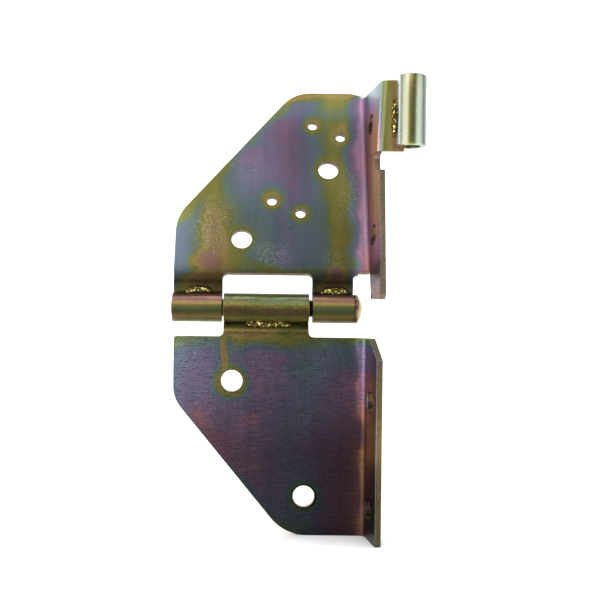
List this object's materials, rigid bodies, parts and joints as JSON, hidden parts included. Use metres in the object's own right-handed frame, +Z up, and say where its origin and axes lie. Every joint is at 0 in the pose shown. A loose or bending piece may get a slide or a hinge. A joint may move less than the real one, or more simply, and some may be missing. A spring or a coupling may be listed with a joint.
{
  "type": "hinge",
  "caption": "Folding frame hinge: two flanged sheet-steel leaves rolled round a headed pin, the raked upper one carrying a welded upright door-pin barrel.",
  "frame": {"origin": "on the hinge pin's axis, midway between the outer ends of the rolled knuckles", "axes": "+X along the hinge pin towards its head and the door-pin barrel; +Y away from the frame the hinge is bolted to; +Z up the lower leaf"},
  "size_m": [0.113, 0.0612, 0.2053],
  "materials": {
    "plated_sheet": "yellow chromate plating with violet, blue and olive tints",
    "plated_pin": "pale yellow chromate plating",
    "plated_tube": "bright yellow chromate plating",
    "weld_metal": "plated weld bead, rough"
  },
  "bodies": {
    "lower": {"lower_leaf": "plated_sheet", "knuckle_weld_lower": "weld_metal"},
    "upper": {"upper_leaf": "plated_sheet", "hinge_pin": "plated_pin", "door_pin_barrel": "plated_tube", "knuckle_weld_left": "weld_metal", "knuckle_weld_right": "weld_metal", "barrel_weld": "weld_metal"}
  },
  "joints": [
    {"name": "fold", "type": "hinge", "parent": "lower", "child": "upper", "pos_m": [0, 0, 0], "axis": [1, 0, 0], "range_deg": [-150, 100]}
  ]
}
